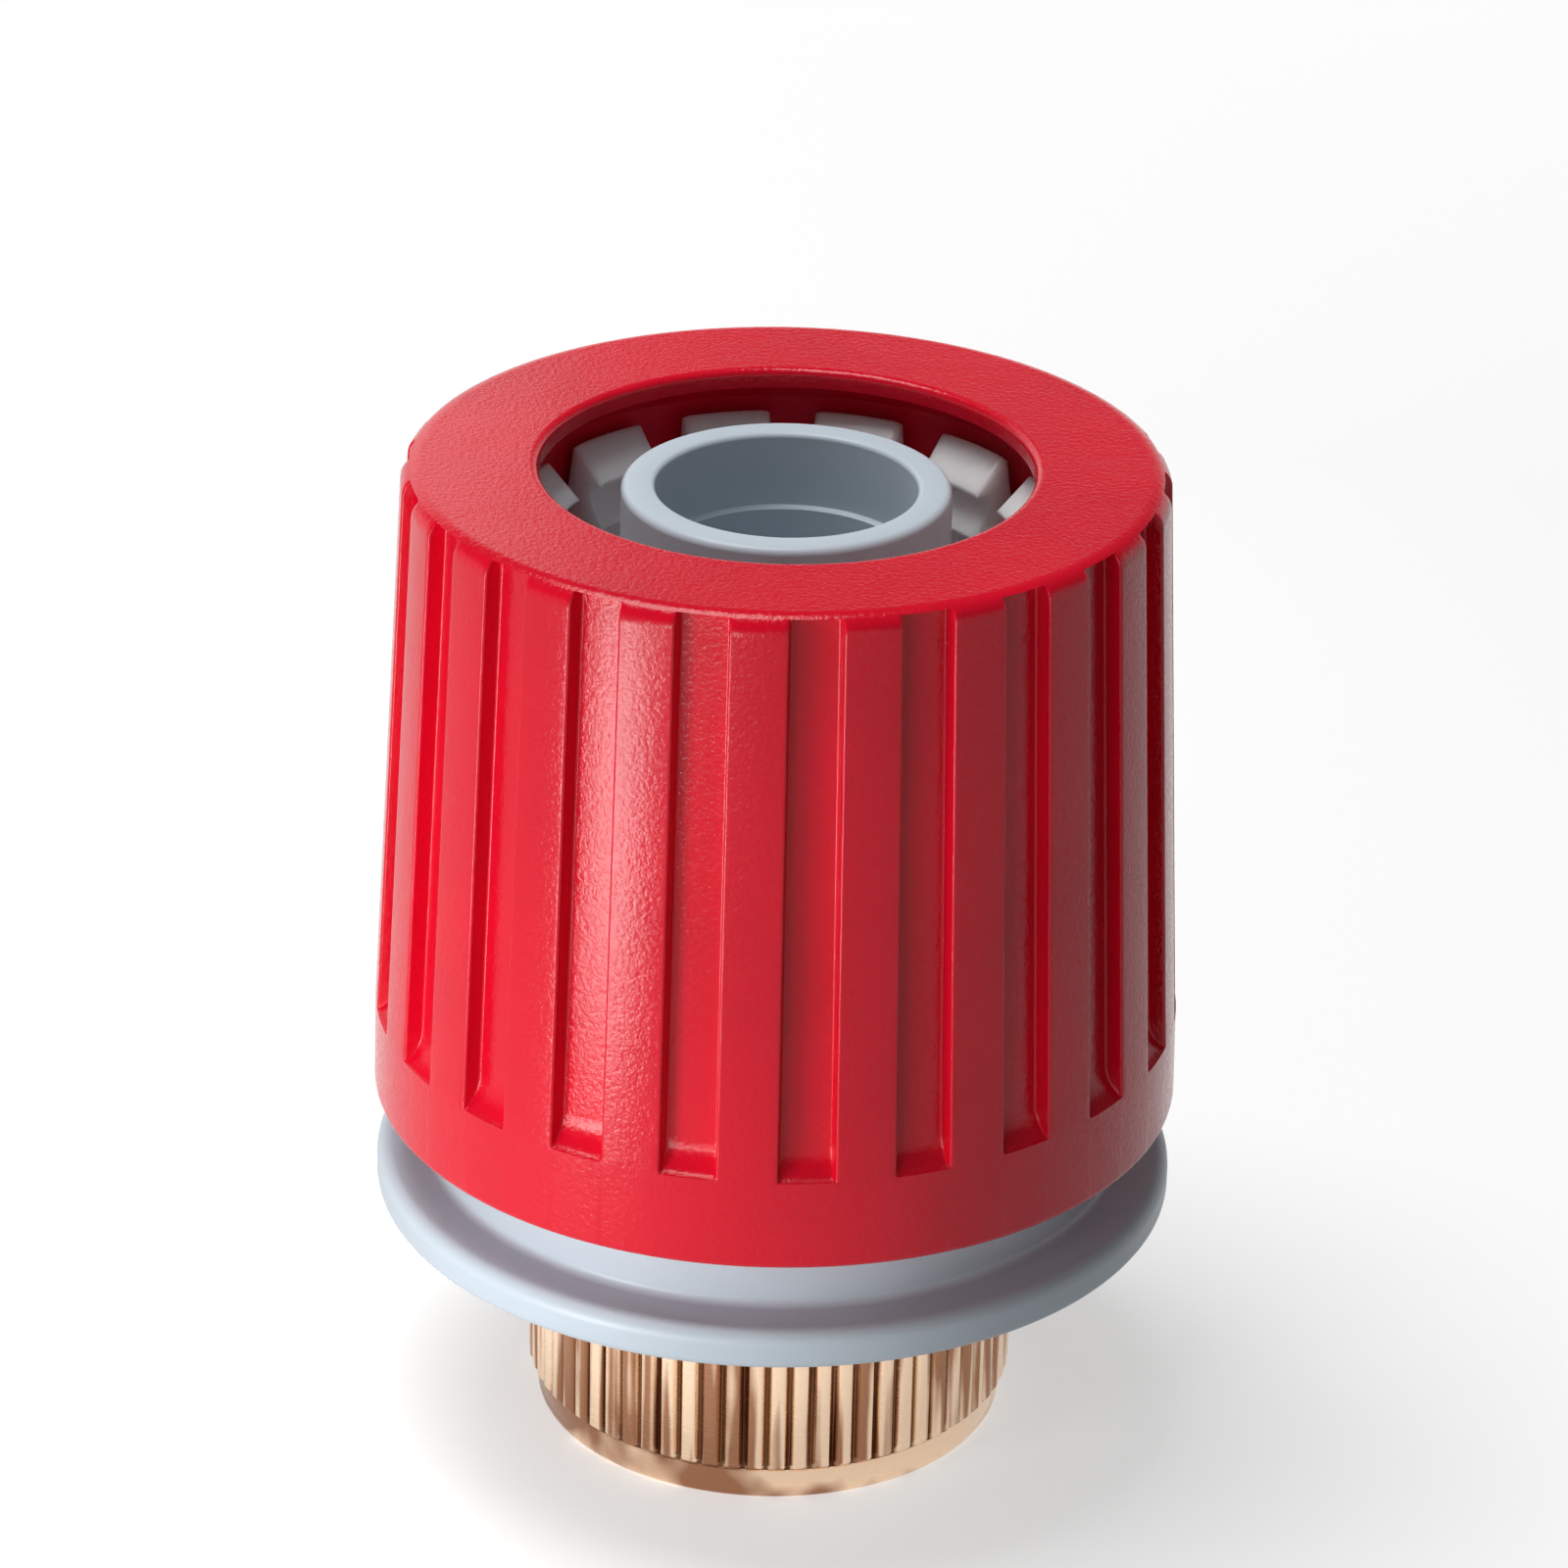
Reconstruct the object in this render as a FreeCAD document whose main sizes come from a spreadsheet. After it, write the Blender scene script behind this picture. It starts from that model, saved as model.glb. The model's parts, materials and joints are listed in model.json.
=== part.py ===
import FreeCAD, Part
import os

import Sketcher

# Tap connector with a screw-down hose clamp, standing on its brass union nut.
# Millimetres, +Z up, origin at the centre of the union nut's lower rim.

# Driving sizes: alias, value and what it is. Radii follow from the waterway outwards and
# heights from the lower rim upwards, so most sizes are walls, steps and gaps.
SIZES = (
    # hose spigot
    ("waterway_radius", 7.0, "hose spigot, radius of the waterway"),
    ("spigot_wall", 2.2, "hose spigot, wall, for a 19 mm hose outside"),
    ("spigot_mouth_step", 0.3, "hose spigot, how much wider the bore is at the top"),
    ("spigot_mouth_depth", 4.45, "hose spigot, depth of the wider bore"),
    ("spigot_recess", 1.3, "hose spigot, how far its top stands below the clamp nut's"),
    ("tail_flange_width", 1.1, "hose spigot, tail flange held by the union nut"),
    ("tail_flange_thickness", 1.6, "hose spigot, thickness of the tail flange"),
    ("spigot_edge_round", 0.45, "hose spigot, rounding of the top's outer edge"),
    ("spigot_bore_round", 0.3, "hose spigot, rounding of the top's inner edge"),
    ("barb_height", 0.45, "hose spigot, height of a barb over the tube"),
    ("barb_ramp", 3.0, "hose spigot, length of a barb's ramp"),
    ("barb_pitch", 4.6, "hose spigot, distance between barbs"),
    ("barb_count", 4, "hose spigot, number of barbs"),
    ("first_barb_rise", 4.15, "hose spigot, lowest barb's edge above the hub"),
    # union nut
    ("tap_thread_step", 0.45, "union nut, how much wider the chamber is than the M22 thread"),
    ("tap_thread_length", 5.7, "union nut, length of the tap thread"),
    ("tap_lead_in", 0.9, "union nut, lead-in chamfer at the mouth"),
    ("collar_wall", 2.6, "union nut, wall of the smooth collar round the thread"),
    ("collar_height", 2.0, "union nut, height of the smooth collar"),
    ("collar_chamfer", 0.4, "union nut, chamfer at the lower rim"),
    ("knurl_stand", 0.55, "union nut, how far the knurl stands out from the collar"),
    ("knurl_depth", 0.4, "union nut, depth of the knurl's grooves"),
    ("knurl_groove_mouth", 0.55, "union nut, width of a groove at the tips"),
    ("knurl_groove_root", 0.15, "union nut, width of a groove at its root"),
    ("knurl_teeth", 68, "union nut, number of knurl teeth"),
    ("knurl_end_chamfer", 0.45, "union nut, chamfer at both ends of the knurl"),
    ("union_lip_thickness", 2.0, "union nut, lip that catches the spigot's flange"),
    # gasket
    ("gasket_thickness", 1.8, "gasket, thickness"),
    ("gasket_inset", 0.5, "gasket, how much wider its bore is than the waterway"),
    # connector body
    ("bearing_inset", 1.0, "body, bearing pad inside the union nut's collar radius"),
    ("bearing_height", 0.3, "body, height of the bearing pad"),
    ("flange_thickness", 2.3, "body, thickness of the hand flange"),
    ("flange_top_round", 0.9, "body, rounding of the flange's upper edge"),
    ("flange_bottom_round", 0.5, "body, rounding of the flange's lower edge"),
    ("neck_fillet", 0.5, "body, fillet between neck and flange"),
    ("neck_smooth_height", 7.9, "body, height of the smooth neck over the flange"),
    ("neck_wall", 2.3, "body, wall of the neck inside the thread"),
    ("neck_stand", 0.15, "body, how far the smooth neck stands over the thread's crest"),
    ("neck_end_land", 1.7, "body, plain neck above the thread"),
    ("neck_end_chamfer", 0.6, "body, chamfer at the neck's upper end"),
    ("floor_thickness", 3.0, "body, floor of the hollow"),
    ("hub_wall", 2.35, "body, wall of the hub round the spigot"),
    ("hub_height", 5.6, "body, height of the hub over the floor"),
    ("rib_thickness", 1.6, "body, rib between hub and neck"),
    ("rib_height", 3.4, "body, height of a rib over the floor"),
    ("rib_count", 6, "body, number of ribs"),
    # clamp thread
    ("thread_pitch", 4.0, "clamp thread, pitch"),
    ("thread_depth", 1.4, "clamp thread, height of the ridge"),
    ("thread_crest_width", 1.2, "clamp thread, width of the ridge's crest"),
    ("thread_base_width", 2.4, "clamp thread, width of the ridge's base"),
    ("thread_lead", 1.85, "clamp thread, ridge's start above the smooth neck"),
    ("neck_thread_turns", 2.5, "clamp thread, turns on the neck"),
    ("nut_thread_turns", 2, "clamp thread, turns in the nut"),
    # clamp ring
    ("hose_wall", 3.8, "clamp ring, room for the hose between spigot and teeth"),
    ("claw_count", 12, "clamp ring, number of claws"),
    ("claw_slot_angle", 10.0, "clamp ring, slot between claws in degrees"),
    ("claw_turn", 29.0, "clamp ring, direction of a slot in degrees from +X"),
    ("claw_length", 14.2, "clamp ring, length of the claws over the collar"),
    ("claw_tip_width", 2.0, "clamp ring, width of a claw's slanted tip"),
    ("claw_splay", 2.2, "clamp ring, how far a claw's foot stands outside its tip"),
    ("claw_teeth", 3, "clamp ring, number of teeth on a claw"),
    ("claw_tooth_depth", 0.8, "clamp ring, depth of the teeth"),
    ("claw_tooth_land", 0.2, "clamp ring, flat at a tooth's crest"),
    ("claw_tooth_ramp", 1.4, "clamp ring, length of a tooth's ramp"),
    ("claw_tooth_pitch", 2.7, "clamp ring, distance between teeth"),
    ("claw_thickness", 1.9, "clamp ring, thickness of a claw below the teeth"),
    ("claw_root_rise", 1.25, "clamp ring, thick root of a claw over the collar"),
    ("claw_slot_floor", 1.0, "clamp ring, solid ring left under the slots"),
    ("ring_step", 0.2, "clamp ring, how far the collar stands out under the claws"),
    ("ring_collar_height", 2.5, "clamp ring, height of the collar"),
    ("ring_bore_step", 0.6, "clamp ring, how much wider its bore is than the teeth"),
    ("ring_lead_in", 0.5, "clamp ring, lead-in at the collar's bore"),
    ("ring_wall", 2.0, "clamp ring, wall of the part that stands in the neck"),
    ("ring_spigot_length", 2.4, "clamp ring, part that stands in the neck"),
    # clamp nut
    ("nut_lift", 4.15, "clamp nut, lower rim above the flange"),
    ("nut_skirt_wall", 2.9, "clamp nut, wall of the skirt at the rim"),
    ("nut_skirt_height", 4.5, "clamp nut, plain skirt below the thread"),
    ("nut_rim_taper", 0.1, "clamp nut, taper of the plain band"),
    ("nut_band_height", 5.3, "clamp nut, plain band under the flutes"),
    ("nut_taper", 1.67, "clamp nut, taper of the fluted part"),
    ("nut_shoulder_round", 1.15, "clamp nut, rounding of the shoulder"),
    ("nut_rim_round", 0.35, "clamp nut, rounding of the rim"),
    ("nut_mouth_step", 0.75, "clamp nut, how much wider the mouth is than the teeth"),
    ("nut_mouth_round", 0.45, "clamp nut, rounding of the mouth's edge"),
    ("nut_lip_thickness", 1.1, "clamp nut, lip round the mouth"),
    ("nut_lip_ledge", 0.55, "clamp nut, flat under the lip"),
    ("nut_press_cone", 1.2, "clamp nut, steep cone above the claw tips"),
    ("nut_thread_room", 2.0, "clamp nut, plain wall above the neck's end"),
    ("flute_count", 22, "clamp nut, number of flutes"),
    ("flute_angle", 7.8, "clamp nut, width of a flute in degrees"),
    ("flute_turn", -85.25, "clamp nut, direction of the front flute in degrees from +X"),
    ("flute_depth", 1.05, "clamp nut, depth of the flutes"),
    ("flute_run_out", 1.9, "clamp nut, curved lower end of a flute"),
    ("flute_top_gap", 0.25, "clamp nut, shoulder left above the flutes"),
    # clearances
    ("seat_gap", 0.1, "gap between faces that rest on each other"),
    ("tail_gap", 1.15, "radial gap between tail flange and union nut"),
    ("gasket_gap", 0.2, "radial gap between gasket and union nut"),
    ("union_play", 1.3, "travel of the union nut along the spigot"),
    ("union_catch_gap", 0.3, "gap between tail flange and lip at the end of that travel"),
    ("spigot_weld_gap", 0.05, "radial gap between spigot and hub"),
    ("union_run_gap", 0.2, "radial gap between spigot and union nut"),
    ("bearing_gap", 0.15, "gap between union nut and bearing pad"),
    ("thread_gap", 0.3, "radial gap in the clamp thread"),
    ("skirt_gap", 0.35, "radial gap between neck and clamp nut skirt"),
    ("ring_gap", 0.4, "radial gap between clamp ring and neck"),
    ("cone_gap", 0.55, "radial gap between claws and clamp nut"),
    ("claw_top_gap", 0.5, "gap between claw tips and the press cone's upper end"),
)

# How far a ridge or rib reaches into the wall it stands on, and a cut past the face it opens.
BITE = 0.2
CUT_MARGIN = 3.0


class Size:
    """A length or number together with the sheet expression that it comes from."""

    def __init__(self, value, text):
        self.value = value
        self.text = text

    def combine(self, other, sign, flipped=False):
        other = other if isinstance(other, Size) else Size(other, repr(other))
        left, right = (other, self) if flipped else (self, other)
        results = {
            "+": lambda: left.value + right.value,
            "-": lambda: left.value - right.value,
            "*": lambda: left.value * right.value,
            "/": lambda: left.value / right.value,
        }
        return Size(results[sign](), f"({left.text} {sign} {right.text})")

    def __add__(self, other):
        return self.combine(other, "+")

    def __radd__(self, other):
        return self.combine(other, "+", True)

    def __sub__(self, other):
        return self.combine(other, "-")

    def __rsub__(self, other):
        return self.combine(other, "-", True)

    def __mul__(self, other):
        return self.combine(other, "*")

    def __rmul__(self, other):
        return self.combine(other, "*", True)

    def __truediv__(self, other):
        return self.combine(other, "/")


class Sizes:
    """The sheet of driving sizes. Each size is an attribute that holds a Size."""

    def __init__(self, doc):
        self.sheet = doc.addObject("Spreadsheet::Sheet", "Sizes")
        for row, (alias, value, meaning) in enumerate(SIZES, start=1):
            self.sheet.set(f"A{row}", meaning)
            self.sheet.set(f"B{row}", str(value))
            self.sheet.setAlias(f"B{row}", alias)
            setattr(self, alias, Size(float(value), f"Sizes.{alias}"))
        self.add_radii()
        self.add_heights()

    def add_radii(self):
        """The radii that follow from the driving sizes, from the waterway outwards."""
        self.spigot_radius = self.waterway_radius + self.spigot_wall
        self.tail_radius = self.spigot_radius + self.tail_flange_width
        self.chamber_radius = self.tail_radius + self.tail_gap
        self.tap_thread_radius = self.chamber_radius - self.tap_thread_step
        self.collar_radius = self.tap_thread_radius + self.collar_wall
        self.knurl_radius = self.collar_radius + self.knurl_stand
        self.grip_radius = self.spigot_radius + self.hose_wall
        self.claw_tip_radius = self.grip_radius + self.claw_tip_width
        self.claw_foot_radius = self.claw_tip_radius + self.claw_splay
        self.ring_bore = self.grip_radius + self.ring_bore_step
        self.neck_bore = self.ring_bore + self.ring_wall + self.ring_gap
        self.thread_root = self.neck_bore + self.neck_wall
        self.thread_crest = self.thread_root + self.thread_depth
        self.neck_radius = self.thread_crest + self.neck_stand
        self.skirt_radius = self.neck_radius + self.skirt_gap
        self.nut_rim_radius = self.skirt_radius + self.nut_skirt_wall
        self.nut_band_radius = self.nut_rim_radius - self.nut_rim_taper
        self.nut_shoulder_radius = self.nut_band_radius - self.nut_taper
        self.flange_radius = self.nut_band_radius

    def add_heights(self):
        """The heights that follow from the driving sizes, from the lower rim upwards."""
        self.tap_thread_top = self.tap_lead_in + self.tap_thread_length
        self.gasket_bottom = self.tap_thread_top + self.seat_gap
        self.tail_bottom = self.gasket_bottom + self.gasket_thickness + self.seat_gap
        self.tail_top = self.tail_bottom + self.tail_flange_thickness
        self.union_lip_bottom = self.tail_top + self.union_play + self.union_catch_gap
        self.union_nut_top = self.union_lip_bottom + self.union_lip_thickness
        self.bearing_bottom = self.union_nut_top + self.bearing_gap
        self.flange_bottom = self.bearing_bottom + self.bearing_height
        self.flange_top = self.flange_bottom + self.flange_thickness
        self.floor_top = self.flange_bottom + self.floor_thickness
        self.hub_top = self.floor_top + self.hub_height
        self.smooth_top = self.flange_top + self.neck_smooth_height
        self.neck_thread_middle = self.smooth_top + self.thread_lead
        self.neck_thread_rise = self.thread_pitch * self.neck_thread_turns
        thread_end = self.neck_thread_middle + self.neck_thread_rise + self.thread_base_width / 2
        self.neck_top = thread_end + self.neck_end_land
        self.ring_seat = self.neck_top + self.seat_gap
        self.ring_collar_top = self.ring_seat + self.ring_collar_height
        self.claw_tip_height = self.ring_collar_top + self.claw_length
        self.press_cone_top = self.claw_tip_height + self.claw_top_gap
        self.nut_lip_bottom = self.press_cone_top + self.nut_press_cone
        self.nut_top = self.nut_lip_bottom + self.nut_lip_thickness
        self.nut_rim = self.flange_top + self.nut_lift
        self.nut_band_top = self.nut_rim + self.nut_band_height
        self.spigot_top = self.nut_top - self.spigot_recess


def origin_feature(body, role):
    return next(item for item in body.Origin.OriginFeatures if item.Role == role)


def vector(point):
    return FreeCAD.Vector(point[0].value, point[1].value, 0)


def arc_end(sketch, side, point):
    """Which end of an arc, 1 or 2, lies at a point: an arc always runs anticlockwise."""
    curve = sketch.Geometry[side]
    target = vector(point)
    return 1 if (curve.StartPoint - target).Length < (curve.EndPoint - target).Length else 2


def smooth_arc(points, side, smooth_at):
    """The arc over a side of a profile that is smooth with the side before or after it."""
    count = len(points)
    start = vector(points[side])
    end = vector(points[(side + 1) % count])
    touch, far = (start, end) if smooth_at == "start" else (end, start)
    beyond = vector(points[side - 1 if smooth_at == "start" else (side + 2) % count])
    along = (touch - beyond).normalize()
    normal = FreeCAD.Vector(-along.y, along.x, 0)
    chord = far - touch
    centre = touch + normal * (chord.dot(chord) / (2 * chord.dot(normal)))
    outward = ((touch - centre) + (far - centre)).normalize()
    return Part.Arc(start, centre + outward * (touch - centre).Length, end)


def outline(body, name, role, points, arcs=None):
    """A closed sketch on an origin plane.

    arcs says which sides are arcs, and at which end each is smooth with its neighbour.
    """
    arcs = arcs or {}
    sketch = body.newObject("Sketcher::SketchObject", name)
    sketch.AttachmentSupport = [(origin_feature(body, role), "")]
    sketch.MapMode = "FlatFace"
    count = len(points)
    for side, point in enumerate(points):
        if side in arcs:
            sketch.addGeometry(smooth_arc(points, side, arcs[side]))
        else:
            end = vector(points[(side + 1) % count])
            sketch.addGeometry(Part.LineSegment(vector(point), end))
    rules = []
    ties = {}
    for corner, point in enumerate(points):
        before = (corner - 1) % count
        leaving = arc_end(sketch, before, point) if before in arcs else 2
        entering = arc_end(sketch, corner, point) if corner in arcs else 1
        smooth = arcs.get(before) == "end" or arcs.get(corner) == "start"
        joint = "Tangent" if smooth else "Coincident"
        rules.append(Sketcher.Constraint(joint, before, leaving, corner, entering))
        side, end = (before, leaving) if corner in arcs else (corner, entering)
        for kind, size in zip(("DistanceX", "DistanceY"), point):
            ties[f"{kind}{corner}"] = (len(rules), size)
            rules.append(Sketcher.Constraint(kind, -1, 1, side, end, size.value))
    sketch.addConstraint(rules)
    for tie, (number, size) in ties.items():
        sketch.renameConstraint(number, tie)
        sketch.setExpression(f"Constraints.{tie}", size.text)
    return sketch


def new_body(doc, name):
    body = doc.addObject("PartDesign::Body", name)
    body.Label = name
    return body


def revolve(body, name, points, arcs=None):
    """A full turn of an outline given as radius and height."""
    sketch = outline(body, name + "_outline", "XZ_Plane", points, arcs)
    feature = body.newObject("PartDesign::Revolution", name)
    feature.Profile = sketch
    feature.ReferenceAxis = (sketch, ["V_Axis"])
    feature.Angle = 360
    body.Document.recompute()
    return feature


def repeat(body, name, feature, count):
    """Copies of a feature all round the axis."""
    pattern = body.newObject("PartDesign::PolarPattern", name)
    pattern.Originals = [feature]
    pattern.Axis = (origin_feature(body, "Z_Axis"), [""])
    pattern.Angle = 360
    pattern.setExpression("Occurrences", count.text)
    body.Tip = pattern
    body.Document.recompute()
    return pattern


def round_edges(body, name, radius, wanted):
    """Rounds the edges of the body's last feature for which wanted(edge) is true."""
    base = body.Tip
    edges = [f"Edge{n}" for n, edge in enumerate(base.Shape.Edges, start=1) if wanted(edge)]
    if not edges:
        raise RuntimeError(f"{name}: no edge to round")
    fillet = body.newObject("PartDesign::Fillet", name)
    fillet.Base = (base, edges)
    fillet.setExpression("Radius", radius.text)
    body.Document.recompute()
    return fillet


def circle_at(radius, height):
    """A test for the full circle of a radius at a height."""

    def test(edge):
        curve = edge.Curve
        if not isinstance(curve, Part.Circle):
            return False
        return abs(curve.Radius - radius.value) < 1e-4 and abs(curve.Center.z - height.value) < 1e-4

    return test


def helix(body, name, s, root, crest, middle, rise):
    """A right-hand ridge of the clamp thread, with its middle starting at a height on +X."""
    half_base = s.thread_base_width / 2
    half_crest = s.thread_crest_width / 2
    sketch = outline(body, name + "_section", "XZ_Plane", [
        (root, middle - half_base),
        (crest, middle - half_crest),
        (crest, middle + half_crest),
        (root, middle + half_base),
    ])
    feature = body.newObject("PartDesign::AdditiveHelix", name)
    feature.Profile = sketch
    feature.ReferenceAxis = (sketch, ["V_Axis"])
    feature.Mode = "pitch-height-angle"
    feature.setExpression("Pitch", s.thread_pitch.text)
    feature.setExpression("Height", rise.text)
    feature.Angle = 0
    feature.LeftHanded = False
    feature.Reversed = False
    body.Document.recompute()
    return feature


def sector_groove(body, name, points, angle, turn, arcs=None):
    """A cut with radial side walls: the outline swept through a small angle about Z."""
    sketch = outline(body, name + "_outline", "XZ_Plane", points, arcs)
    sketch.setExpression(".AttachmentOffset.Rotation.Angle", turn.text)
    sketch.AttachmentOffset = FreeCAD.Placement(
        FreeCAD.Vector(0, 0, 0), FreeCAD.Rotation(FreeCAD.Vector(0, 1, 0), turn.value)
    )
    cut = body.newObject("PartDesign::Groove", name)
    cut.Profile = sketch
    cut.ReferenceAxis = (sketch, ["V_Axis"])
    cut.Midplane = True
    cut.setExpression("Angle", angle.text)
    body.Document.recompute()
    return cut


def make_union_nut(doc, s):
    """Turned brass nut: collar, straight knurl, tap thread, gasket chamber and lip."""
    body = new_body(doc, "union_nut")
    lip_bore = s.spigot_radius + s.union_run_gap
    rim = Size(0.0, "0")
    revolve(body, "turned_nut", [
        (s.tap_thread_radius + s.tap_lead_in, rim),
        (s.collar_radius - s.collar_chamfer, rim),
        (s.collar_radius, s.collar_chamfer),
        (s.collar_radius, s.collar_height),
        (s.knurl_radius, s.collar_height + s.knurl_end_chamfer),
        (s.knurl_radius, s.union_nut_top - s.knurl_end_chamfer),
        (s.knurl_radius - s.knurl_end_chamfer, s.union_nut_top),
        (lip_bore, s.union_nut_top),
        (lip_bore, s.union_lip_bottom),
        (s.chamber_radius, s.union_lip_bottom),
        (s.chamber_radius, s.tap_thread_top),
        (s.tap_thread_radius, s.tap_thread_top),
        (s.tap_thread_radius, s.tap_lead_in),
    ])
    root = s.knurl_radius - s.knurl_depth
    outside = s.knurl_radius + s.knurl_depth
    half_root = s.knurl_groove_root / 2
    half_outside = s.knurl_groove_mouth - half_root
    sketch = outline(body, "knurl_groove_section", "XY_Plane", [
        (root, 0 - half_root),
        (outside, 0 - half_outside),
        (outside, half_outside),
        (root, half_root),
    ])
    sketch.AttachmentOffset = FreeCAD.Placement(
        FreeCAD.Vector(0, 0, s.collar_height.value), FreeCAD.Rotation()
    )
    sketch.setExpression(".AttachmentOffset.Base.z", s.collar_height.text)
    groove = body.newObject("PartDesign::Pocket", "knurl_groove")
    groove.Profile = sketch
    groove.setExpression("Length", (s.union_nut_top - s.collar_height + CUT_MARGIN).text)
    groove.Reversed = True
    doc.recompute()
    repeat(body, "knurl", groove, s.knurl_teeth)
    return body


def make_gasket(doc, s):
    """Flat rubber washer in the union nut, wider than the thread so that it stays in."""
    body = new_body(doc, "gasket")
    bore = s.waterway_radius + s.gasket_inset
    radius = s.chamber_radius - s.gasket_gap
    top = s.gasket_bottom + s.gasket_thickness
    revolve(body, "washer", [
        (bore, s.gasket_bottom),
        (radius, s.gasket_bottom),
        (radius, top),
        (bore, top),
    ])
    return body


def make_hose_spigot(doc, s):
    """Tube that the hose is pushed over, with barbs and a tail flange."""
    body = new_body(doc, "hose_spigot")
    mouth_bore = s.waterway_radius + s.spigot_mouth_step
    mouth_floor = s.spigot_top - s.spigot_mouth_depth
    points = [
        (s.waterway_radius, s.tail_bottom),
        (s.tail_radius, s.tail_bottom),
        (s.tail_radius, s.tail_top),
        (s.spigot_radius, s.tail_top),
    ]
    for number in range(int(s.barb_count.value)):
        edge = s.hub_top + s.first_barb_rise + s.barb_pitch * number
        points += [
            (s.spigot_radius, edge),
            (s.spigot_radius + s.barb_height, edge),
            (s.spigot_radius, edge + s.barb_ramp),
        ]
    points += [
        (s.spigot_radius, s.spigot_top),
        (mouth_bore, s.spigot_top),
        (mouth_bore, mouth_floor),
        (s.waterway_radius, mouth_floor),
    ]
    revolve(body, "tube", points)
    round_edges(body, "outer_edge", s.spigot_edge_round, circle_at(s.spigot_radius, s.spigot_top))
    round_edges(body, "inner_edge", s.spigot_bore_round, circle_at(mouth_bore, s.spigot_top))
    return body


def make_connector_body(doc, s):
    """Moulded body: hand flange, threaded hollow neck, and a ribbed hub round the spigot."""
    body = new_body(doc, "connector_body")
    bearing_radius = s.collar_radius - s.bearing_inset
    hub_bore = s.spigot_radius + s.spigot_weld_gap
    hub_radius = hub_bore + s.hub_wall
    neck_step = s.neck_radius - s.thread_root
    revolve(body, "moulding", [
        (hub_bore, s.bearing_bottom),
        (bearing_radius, s.bearing_bottom),
        (bearing_radius, s.flange_bottom),
        (s.flange_radius, s.flange_bottom),
        (s.flange_radius, s.flange_top),
        (s.neck_radius, s.flange_top),
        (s.neck_radius, s.smooth_top),
        (s.thread_root, s.smooth_top + neck_step / 2),
        (s.thread_root, s.neck_top - s.neck_end_chamfer),
        (s.thread_root - s.neck_end_chamfer, s.neck_top),
        (s.neck_bore, s.neck_top),
        (s.neck_bore, s.floor_top),
        (hub_radius, s.floor_top),
        (hub_radius, s.hub_top),
        (hub_bore, s.hub_top),
    ])
    round_edges(body, "flange_upper_edge", s.flange_top_round,
                circle_at(s.flange_radius, s.flange_top))
    round_edges(body, "flange_lower_edge", s.flange_bottom_round,
                circle_at(s.flange_radius, s.flange_bottom))
    round_edges(body, "neck_corner", s.neck_fillet, circle_at(s.neck_radius, s.flange_top))
    half_rib = s.rib_thickness / 2
    sketch = outline(body, "rib_section", "XY_Plane", [
        (hub_radius - BITE, 0 - half_rib),
        (s.neck_bore + BITE, 0 - half_rib),
        (s.neck_bore + BITE, half_rib),
        (hub_radius - BITE, half_rib),
    ])
    rib_bottom = s.floor_top - BITE
    sketch.AttachmentOffset = FreeCAD.Placement(
        FreeCAD.Vector(0, 0, rib_bottom.value), FreeCAD.Rotation()
    )
    sketch.setExpression(".AttachmentOffset.Base.z", rib_bottom.text)
    rib = body.newObject("PartDesign::Pad", "rib")
    rib.Profile = sketch
    rib.setExpression("Length", (s.rib_height + BITE).text)
    doc.recompute()
    repeat(body, "ribs", rib, s.rib_count)
    helix(body, "neck_thread", s, s.thread_root - BITE, s.thread_crest,
          s.neck_thread_middle, s.neck_thread_rise)
    return body


def make_clamp_ring(doc, s):
    """Springy ring with claws: collar on the neck's end, toothed claws round the hose."""
    body = new_body(doc, "clamp_ring")
    collar_radius = s.claw_foot_radius + s.ring_step
    spigot_radius = s.ring_bore + s.ring_wall
    back = s.grip_radius + s.claw_tooth_depth
    crest = s.claw_tip_height - s.claw_tip_width
    points = [
        (s.ring_bore, s.ring_seat - s.ring_spigot_length),
        (spigot_radius, s.ring_seat - s.ring_spigot_length),
        (spigot_radius, s.ring_seat),
        (collar_radius, s.ring_seat),
        (collar_radius, s.ring_collar_top),
        (s.claw_foot_radius, s.ring_collar_top),
        (s.claw_tip_radius, s.claw_tip_height),
    ]
    for _ in range(int(s.claw_teeth.value)):
        points += [
            (s.grip_radius, crest),
            (s.grip_radius, crest - s.claw_tooth_land),
            (back, crest - s.claw_tooth_land),
        ]
        crest = crest - s.claw_tooth_pitch
        points.append((back, crest + s.claw_tooth_ramp))
    inner_foot = s.claw_foot_radius - s.claw_thickness
    points += [
        (inner_foot, s.ring_collar_top + s.claw_root_rise),
        (inner_foot, s.ring_collar_top),
        (s.ring_bore, s.ring_collar_top - s.ring_lead_in),
    ]
    revolve(body, "ring", points)
    inside = s.grip_radius - CUT_MARGIN
    outside = collar_radius + CUT_MARGIN
    slot_bottom = s.ring_collar_top + s.claw_slot_floor
    slot = sector_groove(body, "claw_slot", [
        (inside, slot_bottom),
        (outside, slot_bottom),
        (outside, s.claw_tip_height + CUT_MARGIN),
        (inside, s.claw_tip_height + CUT_MARGIN),
    ], s.claw_slot_angle, s.claw_turn)
    repeat(body, "claws", slot, s.claw_count)
    return body


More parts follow.
